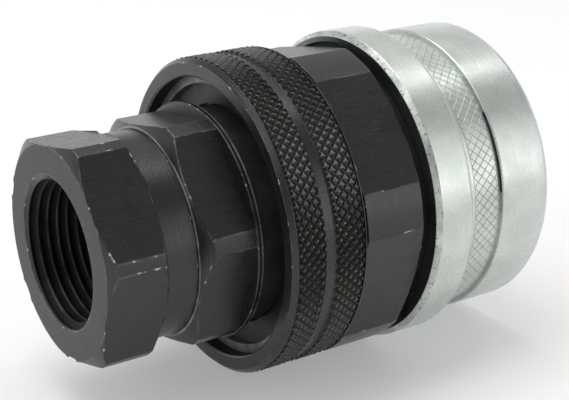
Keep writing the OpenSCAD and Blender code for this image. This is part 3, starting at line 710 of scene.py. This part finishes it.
def thread_tap(name, x_from, x_to, pitch, minor_r, major_r):
    """A threaded rod between two stations."""
    crest, root = CREST_SHARE * pitch, ROOT_SHARE * pitch
    flank = (pitch - crest - root) / 2
    x0 = x_from - pitch
    turns = math.ceil((x_to - x0) / pitch)
    profile = [(x0, minor_r), (x0 + crest, minor_r), (x0 + crest + flank, major_r),
               (x0 + crest + flank + root, major_r), (x0 + pitch, minor_r)]
    tap = draw_outline(name, profile, 0.0)
    bpy.ops.object.mode_set(mode="OBJECT")
    apply_modifier(tap, "SCREW", axis="X", angle=2 * math.pi, screw_offset=pitch * MM,
                   iterations=turns, steps=TAP_STEPS, render_steps=TAP_STEPS,
                   use_merge_vertices=True, merge_threshold=MERGE)
    edit(tap, "VERT")
    for x, outwards in ((x_from, -1), (x_to, 1)):
        bpy.ops.mesh.select_all(action="SELECT")
        bpy.ops.mesh.bisect(plane_co=(x * MM, 0, 0), plane_no=(outwards, 0, 0),
                            use_fill=True, clear_outer=True)
    close_up()
    bpy.ops.object.mode_set(mode="OBJECT")
    print(name, "wound:", turns, "turns,", len(tap.data.polygons), "faces")
    return tap


print("taps have", TAP_STEPS, "steps a turn")

# %% [markdown]
# ## Port adapter
# The piece nearest to the viewer: a hexagon with a pipe thread in it and a plain neck behind. It is
# turned whole with its bore and then milled, and its edges are broken. The bore is left a little
# too small, so that the tap finds metal all the way round.

# %% Blank of the port adapter
AROUND = 120
X_NECK = 10.8
X_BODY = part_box("valve_body")[0][0] / MM
X_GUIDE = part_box("port_adapter")[1][0] / MM
HEX_CORNER = 10.8
PORT_FACE_R, PORT_CORNER_R, PORT_ACROSS = 18.3, 20.3, 36.2
NECK_R, SPIGOT_R, FLOW_R = 17.8, 15.9, 11.4
PORT_MINOR_R, PORT_MAJOR_R, PORT_PITCH, PORT_THREAD_END = 12.06, 13.22, 1.814, 15.2
ADAPTER_GROOVE = (17.8, 21.1, 13.95)
SKIM, PORT_LEAD, RUN_OUT, FLOW_STEP = 0.16, 1.1, 0.1, 0.6
HEX_CHAMFER = math.tan(math.radians(30))
port_chamfer = (PORT_CORNER_R - PORT_FACE_R) * HEX_CHAMFER
adapter = turned("port_adapter_dressed", [
    (0, PORT_MAJOR_R), (0, PORT_FACE_R), (port_chamfer, PORT_CORNER_R),
    (X_NECK - port_chamfer, PORT_CORNER_R), (X_NECK, PORT_FACE_R), (X_NECK, NECK_R),
    (X_BODY, NECK_R), (X_BODY, SPIGOT_R), (ADAPTER_GROOVE[0], SPIGOT_R),
    (ADAPTER_GROOVE[0], ADAPTER_GROOVE[2]), (ADAPTER_GROOVE[1], ADAPTER_GROOVE[2]),
    (ADAPTER_GROOVE[1], SPIGOT_R), (X_GUIDE, SPIGOT_R), (X_GUIDE, FLOW_R),
    (PORT_THREAD_END + FLOW_STEP, FLOW_R), (PORT_THREAD_END + RUN_OUT, PORT_MINOR_R - SKIM),
    (PORT_LEAD, PORT_MINOR_R - SKIM),
], AROUND, [black_turned, black_milled, rubbed_edge, bore_shade, thread_crest, black_faced],
    HEX_CORNER)
mill_hexagon(adapter, PORT_ACROSS, HEX_CORNER, black_milled)
bevel_sharp(adapter, width=0.18, finish=rubbed_edge)

# %% [markdown]
# ## Thread of the port
# The thread is cut last, so that its crests stay crisp. The new faces then take their finishes by
# place: grey crests, a dull bore whose missing gloss is painted shade, a turned lead-in at the
# mouth, and a faced end around it.

# %% Thread of the port
TAP_OVERRUN = 1
# How near in mm a face is to a wall, with a loose limit, and the share of a normal along the axis.
ON_WALL, SLACK = 0.05, 0.1
STRAIGHT, LEVEL, LEAD_SLANT = 0.99, 0.1, (0.70, 0.82)
X_LAST_CREST = 15
cut_with(adapter, thread_tap("port_tap", -TAP_OVERRUN, PORT_THREAD_END, PORT_PITCH,
                             PORT_MINOR_R, PORT_MAJOR_R))
for face in adapter.data.polygons:
    x, r, forwards = face.center.x / MM, radius(face.center), face.normal.x
    if LEAD_SLANT[0] < -forwards < LEAD_SLANT[1] and x < PORT_LEAD and r < PORT_MAJOR_R:
        face.material_index = index_of(adapter, black_turned)
    elif SLACK < x and r < PORT_MAJOR_R - ON_WALL:
        on_crest = r < PORT_MINOR_R and abs(forwards) < LEVEL and x < X_LAST_CREST
        face.material_index = index_of(adapter, thread_crest if on_crest else bore_shade)
    elif forwards < -STRAIGHT and x < SLACK:
        face.material_index = index_of(adapter, black_faced)
finish_piece(adapter, "body", "port_adapter")

# %% [markdown]
# ## Hexagon of the valve body
# The valve body has a flange that is larger than its hexagon, so the cutter can't go through the
# whole piece. The hexagon is made as a ring of its own, a little overlapped with the rest so that
# no two faces coincide. Both halves carry the same list of finishes, because a union goes by the
# place in that list.

# %% Hexagon of the valve body
X_FLANGE, LAP = 25.9, 0.3
BODY_FACE_R, BODY_CORNER_R, BODY_ACROSS, CORE_R = 18.1, 20.7, 37.2, 17.2
body_finishes = [black_turned, black_milled, rubbed_edge, rim_wear_and_highlight, gap_shade]
body_chamfer = (BODY_CORNER_R - BODY_FACE_R) * HEX_CHAMFER
hexagon = turned("body_hexagon", [
    (X_BODY, CORE_R - LAP), (X_BODY, BODY_FACE_R), (X_BODY + body_chamfer, BODY_CORNER_R),
    (X_FLANGE + LAP, BODY_CORNER_R), (X_FLANGE + LAP, CORE_R - LAP),
], AROUND, body_finishes, HEX_CORNER)
mill_hexagon(hexagon, BODY_ACROSS, HEX_CORNER, black_milled)
# The front edge takes the rim's light grey: rubbed skin and a painted highlight.
bevel_rings(hexagon, [(X_BODY, BODY_FACE_R)], width=0.2, finish=rim_wear_and_highlight)
bevel_sharp(hexagon, width=0.16, finish=rubbed_edge)

# %% [markdown]
# ## Valve body
# The rest of the body is turned: the thin flange, the journal and the collar that the nut runs on,
# and the nose with the valve chamber in it. The journal lies in the gap behind the nut, so it takes
# the dull finish that paints the gap's shade. A Boolean union then joins the hexagon to it.

# %% Valve body
X_JOURNAL, X_COLLAR, X_COLLAR_END = 27.2, 33.5, 37.5
X_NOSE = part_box("valve_body")[1][0] / MM
BODY_BORE_R, FLANGE_R, JOURNAL_R, COLLAR_R, NOSE_R = 15.95, 20.9, 19.2, 24.79, 17.0
NOSE_OPEN_R, CHAMBER_R, NOSE_BEVEL = 9.5, 13.5, 0.9
X_CHAMBER, X_SEAT = 24.9, 62.3
NOSE_GROOVE = (59.3, 62.9, 14.87)
valve_body = turned("valve_body_dressed", [
    (X_BODY + LAP, BODY_BORE_R), (X_BODY + LAP, CORE_R), (X_FLANGE, CORE_R), (X_FLANGE, FLANGE_R),
    (X_JOURNAL, FLANGE_R), (X_JOURNAL, JOURNAL_R), (X_COLLAR, JOURNAL_R), (X_COLLAR, COLLAR_R),
    (X_COLLAR_END, COLLAR_R), (X_COLLAR_END, NOSE_R), (NOSE_GROOVE[0], NOSE_R),
    (NOSE_GROOVE[0], NOSE_GROOVE[2]), (NOSE_GROOVE[1], NOSE_GROOVE[2]), (NOSE_GROOVE[1], NOSE_R),
    (X_NOSE - NOSE_BEVEL, NOSE_R), (X_NOSE, NOSE_R - NOSE_BEVEL), (X_NOSE, NOSE_OPEN_R),
    (X_SEAT, NOSE_OPEN_R), (X_SEAT - CHAMBER_R + NOSE_OPEN_R, CHAMBER_R), (X_CHAMBER, CHAMBER_R),
    (X_CHAMBER, BODY_BORE_R),
], AROUND, body_finishes, HEX_CORNER)
for face in valve_body.data.polygons:
    if X_JOURNAL < face.center.x / MM < X_COLLAR and radius(face.center) < COLLAR_R:
        face.material_index = index_of(valve_body, gap_shade)
bevel_rings(valve_body, [(X_FLANGE, FLANGE_R), (X_NOSE, NOSE_R - NOSE_BEVEL)], width=0.18,
            finish=rubbed_edge)
# The flange's far edge takes the rim's light grey: rubbed skin and a painted highlight.
bevel_rings(valve_body, [(X_JOURNAL, FLANGE_R)], width=0.6, segments=3, finish=rim_wear_and_highlight)
cut_with(valve_body, hexagon, "UNION")
finish_piece(valve_body, "body", "valve_body")

# %% [markdown]
# ## Knurling
# A knurl is rolled or cut as two crossing sets of grooves, which leaves a diamond standing between
# them. A band of square cells becomes diamonds when each cell is poked to its middle and the old
# edges are dissolved. Each diamond is then inset and raised, so the grooves and the flat tips can
# take different finishes.

# %% Knurl helper
# A flat cell's middle lies a little inside the circle that its corners are on.
CELL_SAG = 0.06


def knurl(piece, x0, x1, rows, base_r, inset, raised, groove_finish, tip_finish):
    """Turns the square cells of a band into raised diamonds."""
    pitch = (x1 - x0) / rows
    mesh = edit(piece, "FACE")

    def in_band(face):
        middle = face.calc_center_median()
        along = x0 - NEAR < middle.x / MM < x1 + NEAR
        return along and abs(radius(middle) - base_r) < CELL_SAG

    def on_base(face, limit):
        return all(abs(radius(v.co) - base_r) < limit for v in face.verts)

    def on_station(vert):
        place = (vert.co.x / MM - x0) / pitch
        return abs(place - round(place)) < NEAR

    for face in mesh.faces:
        face.select_set(in_band(face) and on_base(face, NEAR))
    bmesh.update_edit_mesh(piece.data)
    bpy.ops.mesh.poke()
    mesh = bmesh.from_edit_mesh(piece.data)
    band = {edge for face in mesh.faces if face.select for edge in face.edges}
    bpy.ops.mesh.select_mode(type="EDGE")
    bpy.ops.mesh.select_all(action="DESELECT")
    for edge in band:
        at_rim = any(all(abs(v.co.x / MM - rim) < NEAR for v in edge.verts) for rim in (x0, x1))
        edge.select_set(all(on_station(v) for v in edge.verts) and not at_rim)
    bmesh.update_edit_mesh(piece.data)
    bpy.ops.mesh.dissolve_edges(use_verts=False, use_face_split=False)
    bpy.ops.mesh.select_mode(type="FACE")
    bpy.ops.mesh.select_all(action="DESELECT")
    mesh = bmesh.from_edit_mesh(piece.data)
    diamonds = [face for face in mesh.faces
                if in_band(face) and len(face.verts) in (3, 4) and on_base(face, CELL_SAG)]
    for face in diamonds:
        face.select_set(True)
        face.material_index = index_of(piece, groove_finish)
    bmesh.update_edit_mesh(piece.data)
    bpy.ops.mesh.inset(thickness=inset * MM, depth=raised * MM, use_individual=True)
    mesh = bmesh.from_edit_mesh(piece.data)
    for face in mesh.faces:
        if face.select:
            face.material_index = index_of(piece, tip_finish)
    bmesh.update_edit_mesh(piece.data)
    bpy.ops.object.mode_set(mode="OBJECT")
    print(piece.name, "knurled:", len(diamonds), "diamonds")


print("knurling tool ready")

# %% [markdown]
# ## Front part of the nut
# The nut is the black ring that is turned by hand or wrench. As on the valve body, its milled front
# part and its knurled rear part are made apart and joined, with a hair-thin groove between them, as
# the tool leaves it. The front part has the hexagon, the spigot that the sleeve slides on, and the
# thread for the other half.

# %% Front part of the nut
X_NUT_HEX, X_NUT_FACE, X_CAVITY, X_WEB, NUT_LAP = 42.7, 55.4, 44.0, 38.8, 0.5
X_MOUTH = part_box("coupling_nut")[0][0] / MM
X_NUT_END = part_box("coupling_nut")[1][0] / MM
NUT_R, NUT_FACE_R, NUT_ACROSS, NUT_CORNER = 28.1, 25.85, 52.1, 12.0
LAND_R, NUT_SPIGOT_R, CAVITY_R, UNDERCUT_R, TAIL_R = 24.4, 22.6, 20.4, 21.3, 25.5
MATE_MINOR_R, MATE_MAJOR_R, MATE_PITCH, MATE_LEAD, MATE_LIP = 19.92, 21.0, 2.0, 1.2, 0.1
X_SPRING, X_UNDERCUT, X_MATE_TAP, X_MATE = 62.5, 65.0, 66.4, 67.4
STOP_GROOVE = (78.55, 80.05, 22.0)
END_BEVEL = 0.3
nut_finishes = [black_turned, black_milled, rubbed_edge, knurl_tip, gap_shade, knurl_root]
nut_chamfer = (NUT_R - NUT_FACE_R) * HEX_CHAMFER
nut_front = turned("nut_front", [
    (X_NUT_HEX - NUT_LAP, CAVITY_R), (X_NUT_HEX - NUT_LAP, TAIL_R), (X_NUT_HEX, TAIL_R),
    (X_NUT_HEX, NUT_R), (X_NUT_FACE - nut_chamfer, NUT_R), (X_NUT_FACE, NUT_FACE_R),
    (X_NUT_FACE, LAND_R), (X_SPRING, LAND_R), (X_SPRING, NUT_SPIGOT_R),
    (STOP_GROOVE[0], NUT_SPIGOT_R), (STOP_GROOVE[0], STOP_GROOVE[2]),
    (STOP_GROOVE[1], STOP_GROOVE[2]), (STOP_GROOVE[1], NUT_SPIGOT_R),
    (X_NUT_END - END_BEVEL, NUT_SPIGOT_R), (X_NUT_END, NUT_SPIGOT_R - END_BEVEL),
    (X_NUT_END, MATE_MAJOR_R + MATE_LIP), (X_NUT_END - MATE_LEAD, MATE_MINOR_R - SKIM),
    (X_MATE, MATE_MINOR_R - SKIM), (X_MATE, UNDERCUT_R), (X_UNDERCUT, UNDERCUT_R),
    (X_UNDERCUT, CAVITY_R),
], AROUND, nut_finishes, NUT_CORNER)
mill_hexagon(nut_front, NUT_ACROSS, NUT_CORNER, black_milled)
bevel_sharp(nut_front, width=0.12, finish=rubbed_edge)
# The end face and the land under the sleeve take the dull finish that paints the gap's shade.
for face in nut_front.data.polygons:
    if face.center.x / MM > X_NUT_FACE - ON_WALL and radius(face.center) > NUT_SPIGOT_R - ON_WALL:
        face.material_index = index_of(nut_front, gap_shade)
cut_with(nut_front, thread_tap("mating_tap", X_MATE_TAP, X_NUT_END + TAP_OVERRUN, MATE_PITCH,
                               MATE_MINOR_R, MATE_MAJOR_R))

# %% [markdown]
# ## Knurled part of the nut
# The rear part has a bevelled mouth and two coarse knurled bands with a plain groove between them.
# Its section has one station for each row of diamonds, and the outline is spun in as many steps as
# there are diamonds around. The bands then have just the square cells that the knurl starts from,
# and the grooves for the snap ring and the dust seal are turned in the same go.

# %% Knurled part of the nut
MOUTH_R, LIP_R, WEB_BORE_R, BAND_R, RIM_R, ROOT_R = 24.85, 27.2, 17.4, 27.6, 27.95, 27.65
X_LIP, X_BAND, X_BAND_END, X_RIM, MARGIN = 29.1, 34.7, 36.3, 42.3, 0.06
LIP_STEP, MOUTH_BEVEL, HAIRLINE = 0.1, 0.3, 0.15
X_KNURLED_END = X_NUT_HEX - HAIRLINE
JOIN_R = CAVITY_R + 1.1
SNAP_GROOVE = (30.8, 32.2, 26.1)
DUST_GROOVE = (40.2, 42.6, 19.33)
DIAMONDS_AROUND, DIAMONDS_ALONG = 100, 3
REAR_BAND = (X_LIP + MARGIN, X_BAND - MARGIN)
FRONT_BAND = (X_BAND_END + MARGIN, X_RIM - MARGIN)


def stations(ends, rows, r):
    return [(ends[0] + (ends[1] - ends[0]) * row / rows, r) for row in range(rows + 1)]


nut = turned("coupling_nut_dressed", [
    (X_MOUTH, MOUTH_R + MOUTH_BEVEL), (X_MOUTH, LIP_R), (X_LIP - LIP_STEP, RIM_R), (X_LIP, RIM_R),
    *stations(REAR_BAND, DIAMONDS_ALONG, ROOT_R), (X_BAND, BAND_R), (X_BAND_END, BAND_R),
    *stations(FRONT_BAND, DIAMONDS_ALONG, ROOT_R), (X_RIM, RIM_R), (X_KNURLED_END, RIM_R),
    (X_KNURLED_END, JOIN_R), (X_CAVITY, JOIN_R), (X_CAVITY, WEB_BORE_R),
    (DUST_GROOVE[1], WEB_BORE_R), (DUST_GROOVE[1], DUST_GROOVE[2]),
    (DUST_GROOVE[0], DUST_GROOVE[2]), (DUST_GROOVE[0], WEB_BORE_R), (X_WEB, WEB_BORE_R),
    (X_WEB, MOUTH_R), (SNAP_GROOVE[1], MOUTH_R), (SNAP_GROOVE[1], SNAP_GROOVE[2]),
    (SNAP_GROOVE[0], SNAP_GROOVE[2]), (SNAP_GROOVE[0], MOUTH_R), (X_MOUTH + MOUTH_BEVEL, MOUTH_R),
], DIAMONDS_AROUND, nut_finishes)
bevel_rings(nut, [(X_MOUTH, LIP_R), (X_KNURLED_END, RIM_R)], width=0.1, finish=rubbed_edge)

# %% [markdown]
# ## Knurl of the nut
# Both bands are raised to full height, with dirty grooves and rubbed tips. The inside of the mouth
# takes the dull finish that paints its shade, and the front part is joined on.

# %% Knurl of the nut
NUT_INSET = 0.5
for band in (REAR_BAND, FRONT_BAND):
    knurl(nut, *band, DIAMONDS_ALONG, ROOT_R, NUT_INSET, NUT_R - ROOT_R, knurl_root, knurl_tip)
for face in nut.data.polygons:
    in_mouth = X_MOUTH + SLACK < face.center.x / MM < X_WEB + SLACK
    if in_mouth and radius(face.center) < MOUTH_R + SLACK:
        face.material_index = index_of(nut, gap_shade)
cut_with(nut, nut_front, "UNION")
finish_piece(nut, "nut", "coupling_nut")

# %% [markdown]
# ## Locking sleeve
# The bright zinc sleeve that is pulled back to unlock. Its fine knurl is only scratched in: thin
# grooves with wide flat diamonds. The same helper makes it, with a small inset and hardly any
# height.

# %% Locking sleeve
X_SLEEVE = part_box("locking_sleeve")[0][0] / MM
X_SLEEVE_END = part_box("locking_sleeve")[1][0] / MM
FLANGE_OUT_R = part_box("locking_sleeve")[1][2] / MM
X_SLOPE, X_FINE, X_FRONT = 64.5, 66.5, 73.0
X_SKIRT, X_STEP, X_COUNTER = 57.7, 73.5, 78.5
FINE_R, FRONT_R, SLEEVE_BORE_R, GUIDE_R = 25.95, 26.75, 24.46, 22.66
COUNTER_R, SKIRT_R = 24.65, 26.77
SLEEVE_CHAMFER, SCRATCH, FINE_INSET = 0.8, 0.05, 0.08
FINE_AROUND, FINE_ALONG, FINE_BAND = 90, 3, (X_FINE + 0.8, X_FRONT - 0.15)
CHAMFER_RINGS = [(X_SLEEVE, FLANGE_OUT_R - SLEEVE_CHAMFER),
                 (X_SLEEVE + SLEEVE_CHAMFER, FLANGE_OUT_R)]
sleeve = turned("locking_sleeve_dressed", [
    (X_SLEEVE, SKIRT_R), *CHAMFER_RINGS, (X_SLOPE, FLANGE_OUT_R), (X_FINE, FINE_R - SCRATCH),
    *stations(FINE_BAND, FINE_ALONG, FINE_R - SCRATCH), (X_FRONT, FINE_R - SCRATCH),
    (X_FRONT, FRONT_R), (X_SLEEVE_END, FRONT_R), (X_SLEEVE_END, COUNTER_R),
    (X_COUNTER, COUNTER_R), (X_COUNTER, GUIDE_R), (X_STEP, GUIDE_R), (X_STEP, SLEEVE_BORE_R),
    (X_SKIRT, SLEEVE_BORE_R), (X_SKIRT, SKIRT_R),
], FINE_AROUND, [bright_zinc, zinc_groove_shade, gap_shade, zinc_nicked, zinc_painted_shade])
bevel_rings(sleeve, [(X_SLEEVE_END, FRONT_R)], width=1.6, segments=6)
bevel_rings(sleeve, [(X_SLOPE, FLANGE_OUT_R)], width=0.45, segments=4)
bevel_rings(sleeve, [(X_FRONT, FRONT_R)], width=0.28, segments=3)
bevel_rings(sleeve, [(X_SLEEVE_END, COUNTER_R)], width=0.2, segments=3)
bevel_rings(sleeve, CHAMFER_RINGS, width=0.1)
# The grooves take the dull zinc that adds painted shade to them.
knurl(sleeve, *FINE_BAND, FINE_ALONG, FINE_R - SCRATCH, FINE_INSET, SCRATCH,
      zinc_groove_shade, bright_zinc)

# %% [markdown]
# ## Key slots of the sleeve
# Two slots inside the sleeve's rear end run on key pins, so that it turns with the nut. A cube of
# the slot's size is set at each pin and cut away.

# %% Key slots
KEY_ANGLES = (115, -65)
SLOT_FROM, SLOT_END, SLOT_TOP_R, SLOT_W = X_SLEEVE - 0.5, 63.7, 26.1, 3.2
for key_angle in KEY_ANGLES:
    middle = on_ring((SLOT_FROM + SLOT_END) / 2, (NUT_SPIGOT_R + SLOT_TOP_R) / 2, key_angle)
    bpy.ops.object.select_all(action="DESELECT")
    bpy.ops.mesh.primitive_cube_add(
        size=1, location=middle, rotation=(math.radians(90 - key_angle), 0, 0),
        scale=((SLOT_END - SLOT_FROM) * MM, SLOT_W * MM, (SLOT_TOP_R - NUT_SPIGOT_R) * MM))
    cut_with(sleeve, bpy.context.object)
print("key slots cut:", len(KEY_ANGLES))

# %% [markdown]
# ## Painted shade and wear on the sleeve
# The faces that look into the gap take the dull finish that paints the gap's shade, the rear face a
# painted shade, and the rear chamfer the nicked finish. A painted shade also lies at the foot of
# the front band along the sides, and ends in a stretch of dull zinc that paints a fainter shade.

# %% Painted shade and wear on the sleeve
# Heights in mm of the painted shade at the foot of the front band, and the width of the duller
# stretch at each end.
SHADE_LOW, SHADE_HIGH, SHADE_FADE = 4.5, 17.5, 4.0
IN_SKIRT_R, IN_SKIRT = SKIRT_R + 0.01, 0.7
for face in sleeve.data.polygons:
    x, z, r = face.center.x / MM, face.center.z / MM, radius(face.center)
    looks_back = face.normal.x < -STRAIGHT
    at_foot = looks_back and abs(x - X_FRONT) < ON_WALL
    if X_SLEEVE + SLACK < x < X_SLEEVE + IN_SKIRT and r < IN_SKIRT_R:
        face.material_index = index_of(sleeve, gap_shade)
    elif looks_back and x < X_SLEEVE + ON_WALL:
        face.material_index = index_of(sleeve, zinc_painted_shade)
    elif at_foot and SHADE_LOW - SHADE_FADE < z < SHADE_HIGH + SHADE_FADE:
        in_painted_shade = SHADE_LOW < z < SHADE_HIGH
        face.material_index = index_of(sleeve, zinc_painted_shade if in_painted_shade else zinc_groove_shade)
    elif x < X_SLEEVE + SLEEVE_CHAMFER and r > FLANGE_OUT_R - SLEEVE_CHAMFER:
        face.material_index = index_of(sleeve, zinc_nicked)
finish_piece(sleeve, "sleeve", "locking_sleeve")

# %% [markdown]
# ## Springs
# Both springs are out of sight, but they move: each is squeezed as its joint travels. A wire is a
# small circle that the Screw modifier winds along the axis. Its two ends are capped.

# %% Springs
WIRE_SIDES, WIRE_STEPS = 12, 48


def wound_spring(name, node, body, mean_r, wire_d, curls):
    low, high = (corner[0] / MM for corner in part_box(node))
    start, run = low + wire_d / 2, high - low - wire_d
    bpy.ops.object.select_all(action="DESELECT")
    bpy.ops.mesh.primitive_circle_add(vertices=WIRE_SIDES, radius=wire_d / 2 * MM,
                                      location=on_ring(start, mean_r, 0))
    spring = bpy.context.object
    spring.name = spring.data.name = name
    bpy.ops.object.transform_apply(location=True, rotation=True, scale=True)
    apply_modifier(spring, "SCREW", axis="X", angle=2 * math.pi, screw_offset=run / curls * MM,
                   iterations=curls, steps=WIRE_STEPS, render_steps=WIRE_STEPS)
    edit(spring, "EDGE")
    bpy.ops.mesh.select_non_manifold()
    bpy.ops.mesh.fill_holes(sides=0)
    close_up()
    bpy.ops.object.mode_set(mode="OBJECT")
    spring.data.materials.append(spring_wire)
    finish_piece(spring, body, node)
    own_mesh(spring)


POPPET_WIRE, SLEEVE_WIRE = 1.8, 1.2
POPPET_SPRING_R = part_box("poppet_spring")[1][2] / MM
wound_spring("poppet_spring_wire", "poppet_spring", "body",
             POPPET_SPRING_R - POPPET_WIRE / 2, POPPET_WIRE, curls=8)
SLEEVE_SPRING_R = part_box("sleeve_spring")[1][2] / MM
wound_spring("sleeve_spring_wire", "sleeve_spring", "nut",
             SLEEVE_SPRING_R - SLEEVE_WIRE / 2, SLEEVE_WIRE, curls=4)

# %% [markdown]
# ## Inner pieces
# The rings, seals, guide and poppet have plain turned shapes that the CAD model already gives
# exactly, so they stay as they are and take a finish.

# %% Finishes on the CAD pieces
INNER_FINISHES = {
    # Both rings take the light grey phosphate, which is partly a painted highlight.
    "nut_snap_ring": ring_steel, "sleeve_stop_ring": ring_steel,
    "rear_thrust_washer": oiled_steel, "front_thrust_washer": oiled_steel,
    "guide_bush": bronze, "poppet_guide": brass,
    "poppet": turned_steel, "sleeve_key_pins": turned_steel,
    "adapter_o_ring": rubber, "nose_o_ring": rubber,
    "poppet_o_ring": rubber, "nut_dust_seal": rubber,
    "adapter_backup_ring": ptfe, "nose_backup_ring": ptfe,
}
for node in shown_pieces():
    cad_name = node.get("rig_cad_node")
    if cad_name in INNER_FINISHES:
        for slot in node.material_slots:
            slot.material = INNER_FINISHES[cad_name]
print("inner pieces finished:", len(INNER_FINISHES))
